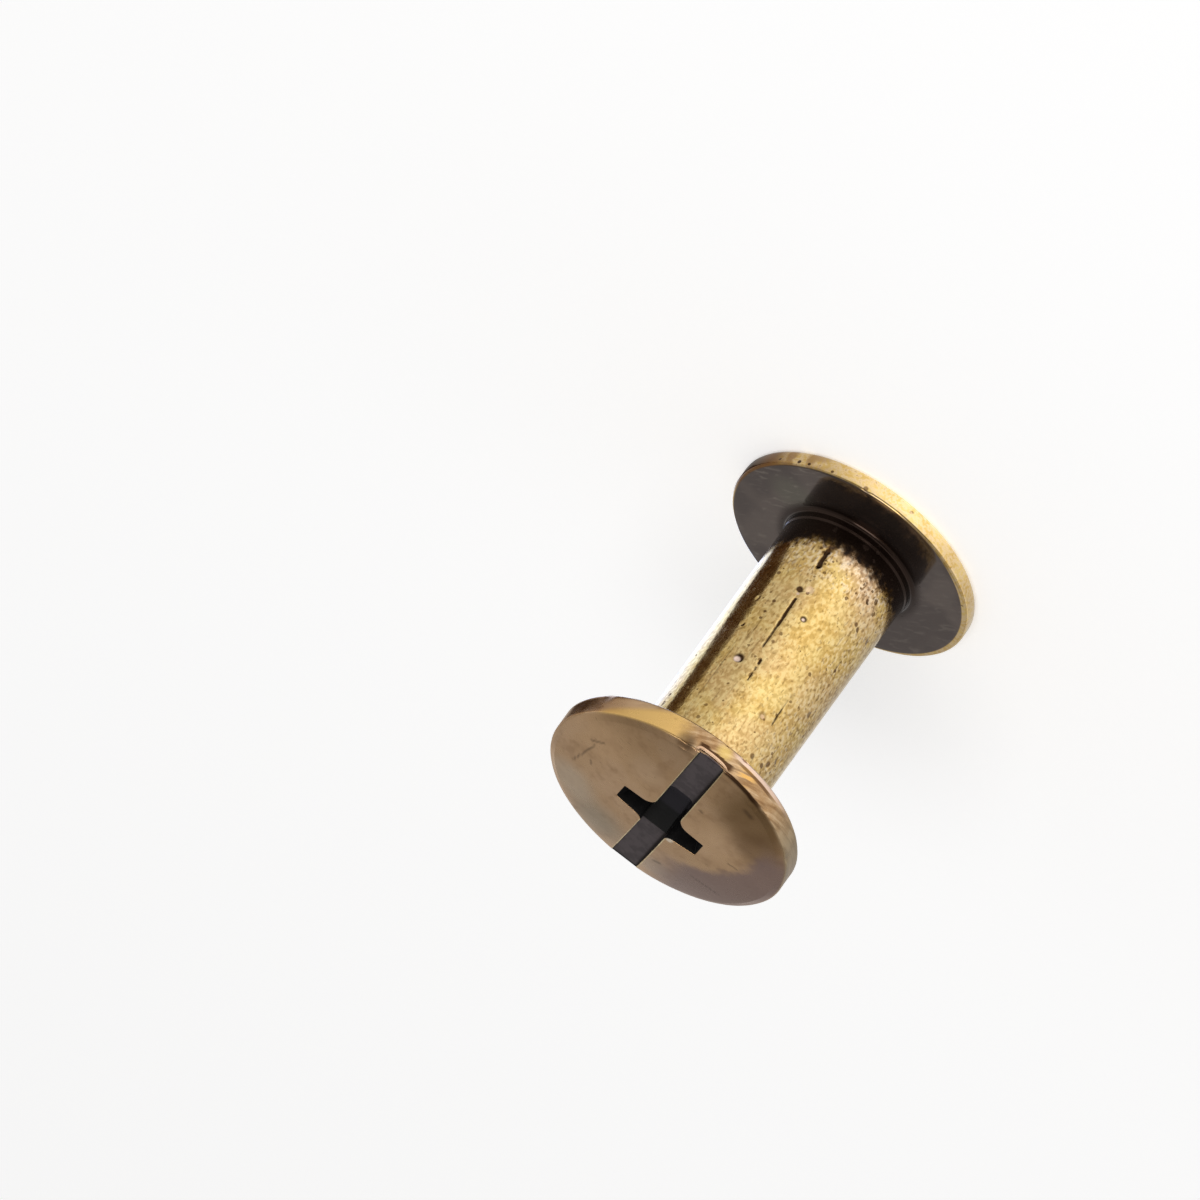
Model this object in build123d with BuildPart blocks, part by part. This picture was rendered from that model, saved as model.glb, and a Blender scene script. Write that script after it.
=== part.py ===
"""Binding barrel screw: a headed, internally threaded barrel and the machine screw that
closes it. Millimetres, +Z up. The screw axis is the Z axis, and the origin is the centre
of the barrel head's outer face, on which the closed fastener stands.
"""
from build123d import *
from math import radians, sqrt, tan
import os

# ------------------------------------------------------------------ driving dimensions
# Both heads
head_diameter = 10.0
rim_break = 0.15            # chamfer on the rim edges that leather or paper meets

# Barrel: head, post and blind bore
barrel_head_thickness = 0.75
post_diameter = 5.2
grip_length = 11.75         # post, from the head's inner face to the open mouth
root_fillet = 0.2           # where the post grows out of the head
mouth_break = 0.12          # outer edge of the open mouth
bore_depth = 10.0           # full diameter, without the drill point
drill_point_angle = 118.0
bore_clearance = 0.05       # between the thread crests and the bore, on the radius
countersink = 0.2           # lead-in at the mouth, on the radius

# Screw thread, M4 coarse, right-handed
thread_diameter = 4.0
thread_pitch = 0.7
flank_angle = 60.0
fusion_overlap = 0.06       # how far the ridge is sunk into the core that carries it

# Screw shank
shank_length = 7.9          # from the underside of the head to the tip
neck_length = 0.7           # unthreaded run-out below the head
neck_flare = 0.2            # 45 degree foot where the neck meets the head
tip_break = 0.15            # 45 degree lead, measured inwards from the core

# Screw head: a straight rim, a bevel and a low domed face
seat_clearance = 0.05       # head's underside to the barrel's mouth, closed
rim_height = 0.9
bevel_width = 0.28
bevel_height = 0.15
dome_rise = 0.5             # above the bevel

# Driver slot from rim to rim, and the cross recess sunk through it
slot_width = 1.1
slot_depth = 0.65           # below the top of the dome
slot_lip_break = 0.05
recess_span = 3.65          # tip to tip of the wings, at the top of the dome
recess_wing_width = 1.0
recess_depth = 1.95
recess_floor_span = 1.7
recess_floor_wing_width = 0.75
recess_corner_radius = 0.45
recess_point_angle = 120.0  # the driver's conical point, below the wings

# ------------------------------------------------------------------ levels and radii
head_radius = head_diameter / 2
post_radius = post_diameter / 2
mouth_level = barrel_head_thickness + grip_length
seat_level = mouth_level + seat_clearance
rim_top_level = seat_level + rim_height
dome_edge_radius = head_radius - bevel_width
dome_edge_level = rim_top_level + bevel_height
dome_top_level = dome_edge_level + dome_rise
tip_level = seat_level - shank_length

# A 60 degree thread keeps an eighth of its pitch flat at the crest and a quarter at the root.
crest_flat = thread_pitch / 8
root_flat = thread_pitch / 4
flank_slope = tan(radians(flank_angle / 2))
thread_height = (thread_pitch - crest_flat - root_flat) / 2 / flank_slope
crest_radius = thread_diameter / 2
root_radius = crest_radius - thread_height
tip_flat_radius = root_radius - tip_break
thread_top_level = seat_level - neck_length

bore_radius = crest_radius + bore_clearance
bore_floor_level = mouth_level - bore_depth
drill_point_height = bore_radius / tan(radians(drill_point_angle / 2))

slot_floor_level = dome_top_level - slot_depth
recess_floor_level = dome_top_level - recess_depth
recess_point_radius = recess_floor_wing_width / sqrt(2)
recess_point_height = recess_point_radius / tan(radians(recess_point_angle / 2))

os.makedirs("parts", exist_ok=True)


# ------------------------------------------------------------------ barrel
# Turned from bar in one piece: a thin flat head, a straight post and a blind bore.
with BuildPart() as barrel:
    with BuildSketch(Plane.XZ) as barrel_section:
        with BuildLine():
            Polyline(
                (0, 0),
                (head_radius, 0),
                (head_radius, barrel_head_thickness),
                (post_radius, barrel_head_thickness),
                (post_radius, mouth_level),
                (0, mouth_level),
                close=True,
            )
        make_face()
    revolve(axis=Axis.Z)

    # The widest two of the four turned edges are the rim's; the others are the post's
    # root in the head and, above it, the post's mouth.
    turned_edges = barrel.edges().filter_by(GeomType.CIRCLE).sort_by(SortBy.RADIUS)
    rim_edges = turned_edges[-2:]
    root_edge, mouth_edge = turned_edges[:-2].sort_by(Axis.Z)
    chamfer(rim_edges, rim_break)
    fillet(root_edge, root_fillet)
    chamfer(mouth_edge, mouth_break)

    # Bore: drill point, straight wall and countersunk mouth, as one cut on the axis.
    with BuildSketch(Plane.XZ) as bore_section:
        with BuildLine():
            Polyline(
                (0, bore_floor_level - drill_point_height),
                (bore_radius, bore_floor_level),
                (bore_radius, mouth_level - countersink),
                (bore_radius + countersink, mouth_level),
                (0, mouth_level),
                close=True,
            )
        make_face()
    revolve(axis=Axis.Z, mode=Mode.SUBTRACT)

barrel.part.label = "barrel"


# ------------------------------------------------------------------ screw thread
# One continuous right-hand ridge of trapezoid section, carried along a helix and then
# trimmed by a turned outline with a 45 degree cone at each end, so that it runs out below
# the head and starts at the tip as a die-cut thread does. Between the cones the outline
# stands clear of the crests.
with BuildPart() as thread_ridge:
    with BuildLine() as thread_path:
        Helix(
            pitch=thread_pitch,
            height=thread_top_level - tip_level + thread_pitch,
            radius=root_radius,
            center=(0, 0, tip_level - thread_pitch / 2),
        )
    ridge_plane = Plane(
        origin=thread_path.line @ 0, x_dir=(1, 0, 0), z_dir=thread_path.line % 0
    )
    with BuildSketch(ridge_plane) as ridge_section:
        foot_half = (thread_pitch - root_flat) / 2 + fusion_overlap * flank_slope
        with BuildLine():
            Polyline(
                (-fusion_overlap, -foot_half),
                (thread_height, -crest_flat / 2),
                (thread_height, crest_flat / 2),
                (-fusion_overlap, foot_half),
                close=True,
            )
        make_face()
    sweep(path=thread_path.line, is_frenet=True)

    trim_radius = crest_radius + thread_height
    with BuildSketch(Plane.XZ) as trim_section:
        with BuildLine():
            Polyline(
                (0, tip_level),
                (tip_flat_radius, tip_level),
                (trim_radius, tip_level + trim_radius - tip_flat_radius),
                (trim_radius, thread_top_level - trim_radius + root_radius),
                (root_radius, thread_top_level),
                (0, thread_top_level),
                close=True,
            )
        make_face()
    revolve(axis=Axis.Z, mode=Mode.INTERSECT)


# ------------------------------------------------------------------ screw
with BuildPart() as screw:
    # Head: flat underside, straight rim, bevel, and a face that is one shallow arc.
    with BuildSketch(Plane.XZ) as head_section:
        with BuildLine():
            TangentArc(
                (0, dome_top_level), (dome_edge_radius, dome_edge_level), tangent=(1, 0)
            )
            Polyline(
                (dome_edge_radius, dome_edge_level),
                (head_radius, rim_top_level),
                (head_radius, seat_level),
                (0, seat_level),
                (0, dome_top_level),
            )
        make_face()
    revolve(axis=Axis.Z)
    lower_rim_edge = screw.edges().filter_by(GeomType.CIRCLE).sort_by(Axis.Z)[0]
    chamfer(lower_rim_edge, rim_break)

    # Driver slot, straight across the dome and out through the rim at both ends. Where
    # its walls meet the dome they leave two arcs, and these lips are broken.
    with BuildSketch(Plane.XY.offset(slot_floor_level)) as slot_outline:
        Rectangle(slot_width, head_diameter + slot_width)
    extrude(amount=slot_depth, mode=Mode.SUBTRACT)
    slot_lips = (
        screw.edges()
        .filter_by(GeomType.CIRCLE)
        .filter_by_position(Axis.X, -slot_width / 2, slot_width / 2)
        .group_by(Axis.Z)[-1]
    )
    chamfer(slot_lips, slot_lip_break)

    # Cross recess: four wings that narrow downwards between rounded inner corners, and
    # below them the seat of the driver's point.
    with BuildSketch(Plane.XY.offset(dome_top_level)) as recess_mouth:
        Rectangle(recess_span, recess_wing_width)
        Rectangle(recess_wing_width, recess_span)
        inner_corners = recess_mouth.vertices().group_by(SortBy.DISTANCE)[0]
        fillet(inner_corners, recess_corner_radius)
    with BuildSketch(Plane.XY.offset(recess_floor_level)) as recess_floor:
        Rectangle(recess_floor_span, recess_floor_wing_width)
        Rectangle(recess_floor_wing_width, recess_floor_span)
        inner_corners = recess_floor.vertices().group_by(SortBy.DISTANCE)[0]
        fillet(inner_corners, recess_corner_radius)
    loft(mode=Mode.SUBTRACT)
    with Locations((0, 0, recess_floor_level - recess_point_height / 2)):
        Cone(0, recess_point_radius, recess_point_height, mode=Mode.SUBTRACT)

    # Shank core, from the flare under the head to the chamfered tip.
    with BuildSketch(Plane.XZ) as core_section:
        with BuildLine():
            Polyline(
                (0, seat_level),
                (root_radius + neck_flare, seat_level),
                (root_radius, seat_level - neck_flare),
                (root_radius, tip_level + tip_break),
                (tip_flat_radius, tip_level),
                (0, tip_level),
                close=True,
            )
        make_face()
    revolve(axis=Axis.Z)
    add(thread_ridge.part)

screw.part.label = "screw"


# ------------------------------------------------------------------ files
export_step(barrel.part, "parts/barrel.step")
export_step(screw.part, "parts/screw.step")
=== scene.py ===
# %% [markdown]
# # Binding barrel screw
# A binding barrel screw holds a strap, an album or a stack of sheets between two round heads.
# It is two turned brass pieces. The barrel is a thin flat head with a hollow post, threaded
# inside. The screw is a low domed head on an M4 shank, and it closes the barrel from its open
# end. The brass is antiqued: it is blackened in a bath and then tumbled, so that whatever
# sticks out is rubbed bright and whatever lies in a corner stays dark.
#
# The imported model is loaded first. It fixes where each piece is and what it moves with.

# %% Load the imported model
import math
import bmesh
import bpy
import numpy as np
from mathutils import Euler, Matrix, Vector
from mathutils.noise import noise as noise_at


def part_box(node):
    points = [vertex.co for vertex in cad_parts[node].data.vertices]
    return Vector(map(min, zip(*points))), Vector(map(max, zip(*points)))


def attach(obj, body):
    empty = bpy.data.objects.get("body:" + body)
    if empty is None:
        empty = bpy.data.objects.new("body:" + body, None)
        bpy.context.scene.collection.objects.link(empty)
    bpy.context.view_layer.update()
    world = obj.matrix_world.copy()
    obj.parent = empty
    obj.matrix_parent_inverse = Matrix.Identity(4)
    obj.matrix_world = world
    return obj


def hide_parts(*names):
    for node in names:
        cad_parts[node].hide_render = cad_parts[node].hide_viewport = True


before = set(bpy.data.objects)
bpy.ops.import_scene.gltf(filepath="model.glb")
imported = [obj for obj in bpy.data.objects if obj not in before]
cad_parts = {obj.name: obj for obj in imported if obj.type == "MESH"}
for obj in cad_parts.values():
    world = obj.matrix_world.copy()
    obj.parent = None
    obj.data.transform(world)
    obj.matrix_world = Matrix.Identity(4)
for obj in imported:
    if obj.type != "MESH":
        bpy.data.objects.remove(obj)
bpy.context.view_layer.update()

# %% [markdown]
# ## Sizes
# Blender works in metres here, and a screw maker in millimetres. Every size below is in
# millimetres and is turned into metres only where a mesh is made. The levels are heights
# above the floor: the closed fastener stands on the outer face of the barrel's head. The
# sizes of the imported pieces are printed, so that the ones below can be checked against them.

# %% Millimetres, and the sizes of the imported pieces
MM = 0.001
for node_name in ("barrel", "screw"):
    low, high = [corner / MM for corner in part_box(node_name)]
    print(node_name, round(high.x - low.x, 2), "mm across, from", round(low.z, 2), "to",
          round(high.z, 2), "mm")

# %% [markdown]
# ## Camera
# The fastener is seen from above the screw's head, 29 degrees above the horizon, with the
# camera rolled so that the screw axis runs from the lower left to the upper right. A long
# lens more than a metre away keeps both heads nearly the same size. The camera's three axes
# are worked out first, because they are easier to check than three rotation angles.

# %% Place the camera
tilt = math.radians(61.27)      # between the screw axis and the line of sight
roll = math.radians(53.8)       # of the screw axis in the picture
slot_turn = math.radians(2.7)   # of the driver slot, about the screw axis
camera_distance = 1200.0
frame_width = 43.34             # what the view takes in, at the screw's head
aside, above = -2.45, 7.56      # from the middle of the screw's head to the middle of the view
rim_top = 13.45                 # level where the screw's straight rim ends
right = Vector((math.sin(roll), math.cos(roll) * math.cos(tilt), -math.cos(roll) * math.sin(tilt)))
up = Vector((-math.cos(roll), math.sin(roll) * math.cos(tilt), -math.sin(roll) * math.sin(tilt)))
toward = Vector((0, math.sin(tilt), math.cos(tilt)))
for axis in (right, up, toward):
    axis.rotate(Euler((0, 0, slot_turn)))
aim = Vector((0, 0, rim_top)) + right * aside + up * above
eye = aim + toward * camera_distance
lens = bpy.data.cameras.new("long_lens")
lens.sensor_width = 36.0
lens.lens = lens.sensor_width * camera_distance / frame_width
lens.clip_start, lens.clip_end = 0.1, 5.0
camera = bpy.data.objects.new("camera", lens)
bpy.context.scene.collection.objects.link(camera)
turned_to_aim = Matrix((right, up, toward)).transposed().to_4x4()
camera.matrix_world = Matrix.Translation(eye * MM) @ turned_to_aim
bpy.context.scene.camera = camera
print("lens", round(lens.lens), "mm, camera at", [round(v, 3) for v in camera.location])

# %% [markdown]
# ## Colour and node helpers
# Screens mix colour in sRGB and a renderer adds light in linear values, so one function turns
# a hex colour into linear. A second one adds a node, sets it and links it, and the part of
# it that does the setting serves the shader too. The others stand for things a finisher would
# say: where a mark shows, which colour lies over which, and what a finish is called.

# %% Helpers for colours and nodes
def linear(hex_colour):
    """Linear red, green, blue and alpha of an sRGB hex colour."""
    parts = [int(hex_colour[k:k + 2], 16) / 255 for k in (1, 3, 5)]
    return [c / 12.92 if c <= 0.04045 else ((c + 0.055) / 1.055) ** 2.4 for c in parts] + [1.0]


def settle(tree, node, values):
    """Sets the properties and inputs of a node. Another node's output is linked, and text
    that starts with # is a colour."""
    for name, value in values.items():
        if isinstance(value, str) and value.startswith("#"):
            value = linear(value)
        if isinstance(value, bpy.types.NodeSocket):
            tree.links.new(value, node.inputs[name])
        elif isinstance(name, str) and hasattr(node, name):
            setattr(node, name, value)
        else:
            node.inputs[name].default_value = value


def add(tree, kind, values, output=0):
    """Adds a node with its settings and links, and gives back one of its outputs."""
    node = tree.nodes.new("ShaderNode" + kind)
    settle(tree, node, values)
    return node.outputs[output]


def mask(tree, *parts):
    """Where all the parts hold, from 0 to 1. A part is a mask, a plain strength, or a value
    with the level where it starts to count and the level where it counts in full."""
    whole = None
    for part in parts:
        if isinstance(part, tuple):
            value, start, full = part
            part = add(tree, "MapRange", {"interpolation_type": "SMOOTHSTEP", "Value": value,
                                          "From Min": start, "From Max": full})
        if whole is not None:
            part = add(tree, "Math", {"operation": "MULTIPLY", 0: whole, 1: part})
        whole = part
    return whole


def paint(tree, colour, *coats):
    """A colour with others over it. Each coat is a colour and the mask where it shows."""
    for coat, shown in coats:
        colour = add(tree, "Mix", {"data_type": "RGBA", 0: shown, 6: colour, 7: coat}, 2)
    return colour


def new_finish(name, values):
    """A new material, its tree and its shader. The values are those that are the same all
    over. A metal keeps the default IOR."""
    made = bpy.data.materials.new(name)
    made.use_nodes = True
    shader = made.node_tree.nodes["Principled BSDF"]
    settle(made.node_tree, shader, values)
    return made, made.node_tree, shader


print("brass gold", [round(c, 3) for c in linear("#dab46a")[:3]], "as linear light")

# %% [markdown]
# ## Patterns with real sizes
# Every pattern is placed in the piece's own space, so it stays on the metal when the screw is
# backed out. The object's coordinates are turned to millimetres first. After that the size of
# a cloud, a streak or a pit is given in millimetres too.

# %% Helpers that place a pattern on the metal
def surface_in_mm(tree):
    """The position in mm, and its distance from the axis and height as single values."""
    place = add(tree, "TexCoord", {}, "Object")
    where = add(tree, "VectorMath", {"operation": "SCALE", 0: place, "Scale": 1 / MM})
    split = add(tree, "SeparateXYZ", {0: where}).node.outputs
    flat = add(tree, "CombineXYZ", {"X": split["X"], "Y": split["Y"]})
    reach = add(tree, "VectorMath", {"operation": "LENGTH", 0: flat}, "Value")
    return where, reach, split


def cloudy(tree, where, size, detail=2.0, rough=0.5, warp=0.0, turn=0.0):
    """Soft variation with patches of size mm along x, y and z, turned about z by turn degrees."""
    placed = add(tree, "Mapping", {"vector_type": "TEXTURE", "Vector": where, "Scale": size,
                                   "Rotation": (0, 0, math.radians(turn))})
    return add(tree, "TexNoise", {"Vector": placed, "Scale": 1.0, "Detail": detail,
                                  "Roughness": rough, "Distortion": warp})


def specks(tree, where, spacing, size, share):
    """Round specks about spacing apart. Only a share of the possible ones is there."""
    cell = add(tree, "TexVoronoi", {"Vector": where, "Scale": 1 / spacing}, "Distance")
    chosen = add(tree, "SeparateXYZ", {0: cell.node.outputs["Color"]}).node.outputs
    there = add(tree, "Math", {"operation": "GREATER_THAN", 0: share, 1: chosen["X"]})
    radius = mask(tree, there, chosen["Y"], size / spacing)
    inside = add(tree, "Math", {"operation": "SUBTRACT", 0: radius, 1: cell})
    return mask(tree, (inside, -0.02, 0.05))


def near(tree, where, centre, full, none):
    """1 within full mm of a place on the metal, fading to 0 at none mm."""
    away = add(tree, "VectorMath", {"operation": "DISTANCE", 0: where, 1: centre}, "Value")
    return mask(tree, (away, none, full))


def place_on(radius, angle, z):
    """Where a spot lies: distance from the axis, degrees from the front, and height."""
    return radius * math.sin(math.radians(angle)), radius * math.cos(math.radians(angle)), z


# %% [markdown]
# ## The barrel's finish
# The post is relieved antique brass. Tumbling has rubbed the black off it down to the gold
# metal, which keeps a soft orange-peel grain, dark pits and lines along the way it was drawn.
# The head's inner face lay in a corner during tumbling, so it keeps its black oxide, and only
# its outer edge and rim are gold again. One material carries both, because on the real piece
# one fades into the other. It is built up as a finisher sees it: first the gold with its
# grain, then pits and marks, and last the black that was never rubbed off.

# %% Relieved antique brass, for the barrel
barrel_brass, tree, shader = new_finish("relieved_antique_brass_tumbled", {"Metallic": 1.0})
where, reach, split = surface_in_mm(tree)
height = split["Z"]
zones = cloudy(tree, where, (2.2, 2.2, 2.2))
soft_grain = cloudy(tree, where, (0.6, 0.6, 0.6), 3.0)
# the real grain is a few hundredths of a millimetre wide, and is drawn coarser so that it shows
skin_grain = cloudy(tree, where, (0.12, 0.12, 0.17), 0.4, 0.5, 0.4)
short_marks = cloudy(tree, where, (0.10, 0.10, 0.20), 1.0, 0.5, 0.3)
drawn_lines = cloudy(tree, where, (0.15, 0.15, 3.0), 2.0, 0.6)
on_post = mask(tree, (reach, 3.3, 2.9))
near_head = mask(tree, (height, 4.2, 2.2))
near_mouth = mask(tree, (height, 11.0, 12.3))
ends = add(tree, "Math", {"operation": "MAXIMUM", 0: near_head, 1: near_mouth})
pinkish = add(tree, "Math", {"operation": "MULTIPLY_ADD", 0: ends, 1: 0.6, 2: 0.3})
right_side = mask(tree, (split["X"], 0.7, 2.0), 0.55)
lively = add(tree, "Math", {"operation": "MAXIMUM", 0: ends, 1: right_side})
gold = paint(tree, "#dab46a",
             ("#e9c981", mask(tree, (soft_grain, 0.36, 0.64))),
             ("#d6b394", mask(tree, on_post, pinkish, (zones, 0.42, 0.62))),
             ("#f6dfa0", mask(tree, on_post, (skin_grain, 0.46, 0.70), 0.45)),
             ("#9a7a38", mask(tree, on_post, (skin_grain, 0.52, 0.32), 0.35)),
             ("#80602e", mask(tree, on_post, (short_marks, 0.56, 0.72), 0.5)),
             ("#6a4a28", mask(tree, on_post, lively, (short_marks, 0.50, 0.66), 0.55)),
             ("#f6e0c8", mask(tree, on_post, lively, (skin_grain, 0.52, 0.66), 0.5)),
             ("#6f4c22", mask(tree, on_post, (drawn_lines, 0.58, 0.74),
                              (split["X"], -0.2, -1.2), 0.5)))
print("barrel gold has", len(tree.nodes), "nodes so far")

# %% Pits in the post
# every point is first moved by up to 0.1 mm, so that no pit is a perfect circle
wobble = add(tree, "TexNoise", {"Vector": where, "Scale": 1 / 0.12, "Detail": 1.0}, "Color")
uneven = add(tree, "VectorMath", {"operation": "MULTIPLY_ADD", 0: wobble, 1: (0.1, 0.1, 0.1),
                                  2: where})
share = add(tree, "Math", {"operation": "MULTIPLY_ADD", 0: ends, 1: 0.4, 2: 0.1})
share = add(tree, "Math", {"operation": "MULTIPLY_ADD", 0: share, 1: on_post, 2: 0.05})
fine_pits = specks(tree, uneven, 0.20, 0.085, share)
wide_pits = specks(tree, uneven, 0.55, 0.15, mask(tree, share, 0.55))
pits = add(tree, "Math", {"operation": "MAXIMUM", 0: fine_pits, 1: wide_pits})
print("with pits", len(tree.nodes), "nodes")

# %% Marks and rims of the barrel
left_black = add(tree, "Attribute", {"attribute_name": "left_black"}, "Fac")
on_rim = mask(tree, (reach, 4.4, 4.6))
# the pale colour here, and the light spots at 14.8 and -14.5 degrees, are painted highlights in the
# middle of pits
dark, brown, pit_highlight = "#341a0e", "#5c3b20", "#f0d4c2"
# each spot: colour, strength, degrees from the front, height, size
post_spots = [
    (dark, 0.95, -29.2, 7.95, 0.20), (pit_highlight, 1.0, -30.2, 8.01, 0.13),
    (dark, 0.90, -4.7, 5.25, 0.13), (pit_highlight, 0.9, -4.6, 5.26, 0.07),
    (brown, 0.50, 14.6, 9.40, 0.17), ("#e2bd96", 0.7, 14.8, 9.42, 0.09),
    (dark, 0.95, -21.6, 4.26, 0.13), ("#e6c4a6", 0.5, -14.5, 4.10, 0.16),
    (pit_highlight, 0.60, -20.6, 4.46, 0.06), (brown, 0.8, 34.4, 3.85, 0.09),
    (brown, 0.80, 39.0, 3.92, 0.10), (brown, 0.7, 57.6, 3.75, 0.11),
    (brown, 0.85, 30.0, 2.85, 0.08), (brown, 0.6, 52.0, 7.70, 0.13),
    (brown, 0.75, 46.6, 10.45, 0.12), (brown, 0.6, 53.0, 10.05, 0.10),
    (brown, 0.70, 28.0, 10.85, 0.11), (brown, 0.8, 41.0, 10.75, 0.10),
    (brown, 0.85, -33.8, 5.15, 0.07), (brown, 0.8, -34.9, 5.70, 0.06),
    (brown, 0.80, -34.9, 6.02, 0.06), (brown, 0.8, -44.8, 6.55, 0.07),
    (brown, 0.80, -46.5, 3.90, 0.08), (brown, 0.6, -14.0, 6.70, 0.07),
    (brown, 0.85, 45.6, 5.72, 0.07), (brown, 0.7, 120.0, 6.30, 0.12),
    (brown, 0.70, 165.0, 9.10, 0.10), (brown, 0.8, -140.0, 5.10, 0.13),
    (brown, 0.80, -105.0, 8.40, 0.09)]
rim_spots = [
    (brown, 0.9, -59.8, 0.53, 0.06), (dark, 0.90, -48.6, 0.57, 0.08),
    (dark, 0.9, -43.2, 0.59, 0.06), (brown, 0.90, -31.5, 0.60, 0.06),
    (brown, 0.7, -15.0, 0.62, 0.09), (brown, 0.80, 128.0, 0.40, 0.07),
    (brown, 0.8, -112.0, 0.35, 0.08), (brown, 0.80, -150.0, 0.50, 0.06),
    (brown, 0.7, 88.0, 0.45, 0.06)]
spots = [(2.6, *spot) for spot in post_spots] + [(4.98, *spot) for spot in rim_spots]
rim_grain = cloudy(tree, where, (0.16, 0.16, 0.12), 2.0, 0.6)
gold = paint(tree, gold,
             ("#6b4a24", mask(tree, pits, 0.7)),
             ("#2b150a", mask(tree, (left_black, 0.08, 0.70), 0.97)),
             ("#eacda0", mask(tree, on_rim, (rim_grain, 0.38, 0.58), 0.75)),
             ("#a87a42", mask(tree, on_rim, (rim_grain, 0.62, 0.76),
                              (split["X"], 1.0, -1.0), 0.7)),
             ("#744a22", mask(tree, on_rim, near(tree, where, (-4.8, 0.9, 0.3), 1.1, 2.5), 0.9)),
             ("#96683a", mask(tree, on_rim, near(tree, where, (-4.0, 3.0, 0.3), 0.6, 2.6),
                              (soft_grain, 0.4, 0.6), 0.7)),
             *((colour, mask(tree, near(tree, where, place_on(r, angle, z),
                                        size * 0.7, size * 1.3), strength))
               for r, colour, strength, angle, z, size in spots))
print(len(spots), "spots laid, the largest", max(spot[-1] for spot in spots), "mm in radius")

# %% Black oxide on the inner face and in the root
# the black creeps up the post in a ragged line, and a little higher on its left side
ragged = cloudy(tree, where, (0.26, 0.26, 0.26), 1.2, 0.5)
ragged_height = add(tree, "Math", {"operation": "MULTIPLY_ADD", 0: ragged, 1: 1.2, 2: height})
ragged_height = add(tree, "Math", {"operation": "SUBTRACT", 0: ragged_height,
                                   1: mask(tree, (split["X"], -1.5, -2.3), 0.45)})
# on the face it ends in a slightly oval line, where the outer edge is rubbed gold
shifted = add(tree, "Mapping", {"vector_type": "TEXTURE", "Vector": where,
                                "Location": (-0.06, 0.0, 0.0), "Scale": (0.973, 1.0, 1000.0)})
oval = add(tree, "VectorMath", {"operation": "LENGTH", 0: shifted}, "Value")
above_rim = mask(tree, (height, 0.60, 0.70), (oval, 4.97, 4.90))
oxide = mask(tree, above_rim, (ragged_height, 2.62, 2.30))
browned = mask(tree, above_rim, (ragged_height, 2.90, 2.42), 0.85)
hollow = mask(tree, (reach, 2.32, 2.24), (height, 0.9, 1.0))
scuffs = cloudy(tree, where, (0.22, 0.85, 0.85), 2.6, 0.62, 0.7, -38.0)
black = paint(tree, "#6e625b",
              ("#5e534e", mask(tree, (zones, 0.4, 0.6))),
              ("#757062", mask(tree, near(tree, where, (-3.1, 1.4, 0.75), 0.4, 1.3), 0.6)),
              ("#a0968a", mask(tree, (scuffs, 0.53, 0.74), (split["X"], -2.0, -2.8), 0.4)),
              ("#8a8076", mask(tree, (scuffs, 0.50, 0.70), (split["X"], 2.2, 3.0), 0.35)),
              ("#33241b", mask(tree, (reach, 3.2, 2.75), 0.9)))
bored = paint(tree, "#8a6f45", ("#6d5636", mask(tree, (soft_grain, 0.4, 0.6))))
colour = paint(tree, gold, ("#5a3c20", browned), (black, oxide), (bored, hollow))
print("barrel colours have", len(tree.nodes), "nodes")

# %% Gloss and relief of the barrel
bare = add(tree, "Math", {"operation": "MULTIPLY_ADD", 0: oxide, 1: -0.15, 2: 1.0})
rubbed = add(tree, "MapRange", {"Value": soft_grain, "From Min": 0.3, "From Max": 0.7,
                                "To Min": 0.14, "To Max": 0.22})
rough = add(tree, "Math", {"operation": "MULTIPLY_ADD", 0: pits, 1: 0.25, 2: rubbed})
smoother = add(tree, "Math", {"operation": "MULTIPLY_ADD", 0: above_rim, 1: -0.5, 2: 1.0})
smoother = add(tree, "Math", {"operation": "MAXIMUM", 0: smoother, 1: on_post})
raised = mask(tree, (skin_grain, 0.30, 0.70), on_post)
relief = add(tree, "Math", {"operation": "MULTIPLY_ADD", 0: pits, 1: -1.3, 2: raised})
calm = add(tree, "Math", {"operation": "MULTIPLY_ADD", 0: oxide, 1: -0.9, 2: 1.0})
skin = add(tree, "Bump", {"Strength": 0.5, "Distance": 0.0021 * MM,
                          "Height": mask(tree, relief, calm)})
settle(tree, shader, {"Base Color": colour, "Metallic": bare, "Normal": skin,
                      "Roughness": mask(tree, rough, smoother)})
print("barrel material has", len(tree.nodes), "nodes")

# %% [markdown]
# ## The screw's finish
# The screw's face is rubbed less than the post, so it is a satin tan-brown with cloudy
# patches, darker towards one side, and a purplish band follows part of its edge. The rim is
# brown, with a painted reflection on it: a gold band where it mirrors something bright, and a
# darker left end where it mirrors something dark. Soft patches of colour are laid over each
# other at measured places, because a random pattern alone never puts them where wear does.

# %% Satin antique brass, for the screw's face
screw_brass, tree, shader = new_finish("satin_antique_brass_tumbled", {"Metallic": 1.0})
where, reach, split = surface_in_mm(tree)
across, along, height = split["X"], split["Y"], split["Z"]
clouds = cloudy(tree, where, (1.9, 1.9, 1.9), 3.0, 0.55)
mottle = cloudy(tree, where, (0.7, 0.7, 0.7), 3.0, 0.6)
# tumbling leaves a texture of a few hundredths of a millimetre, drawn coarser so that it shows
fine = cloudy(tree, where, (0.14, 0.14, 0.14))
hairlines = cloudy(tree, where, (0.35, 0.06, 0.35), 2.0, 0.6)
left_black = add(tree, "Attribute", {"attribute_name": "left_black"}, "Fac")
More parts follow.
